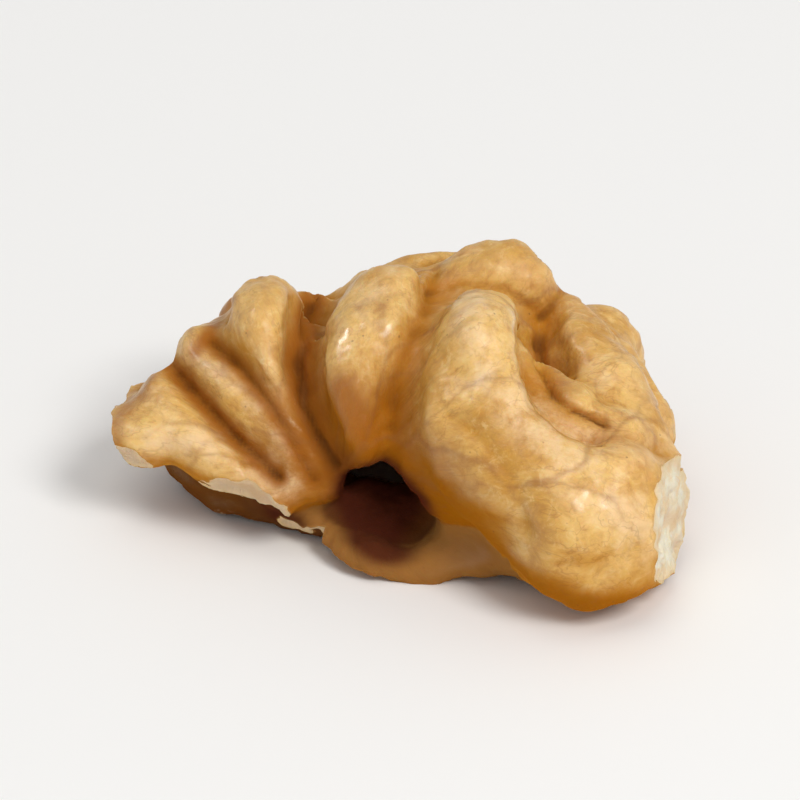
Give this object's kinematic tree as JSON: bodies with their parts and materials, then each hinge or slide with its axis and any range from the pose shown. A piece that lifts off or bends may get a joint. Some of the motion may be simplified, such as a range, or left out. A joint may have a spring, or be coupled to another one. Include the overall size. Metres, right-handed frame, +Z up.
{
  "type": "walnut kernel",
  "caption": "Half kernel of a walnut, lying on its inner side: two wings of rounded, meandering folds joined at a waist, with a hollow underneath and torn, cream-coloured breaks.",
  "frame": {"origin": "middle of the bounding box's bottom, on the surface that the kernel lies on", "axes": "+X across both wings, from the broken wing to the whole one; +Y from the front, where the arch between the wings opens, to the back; +Z up, from the hollow inner side to the folded outer side"},
  "size_m": [0.0288, 0.0262, 0.0139],
  "materials": {
    "kernel_skin": "satin"
  },
  "bodies": {
    "root": {"kernel": "kernel_skin"}
  },
  "joints": []
}
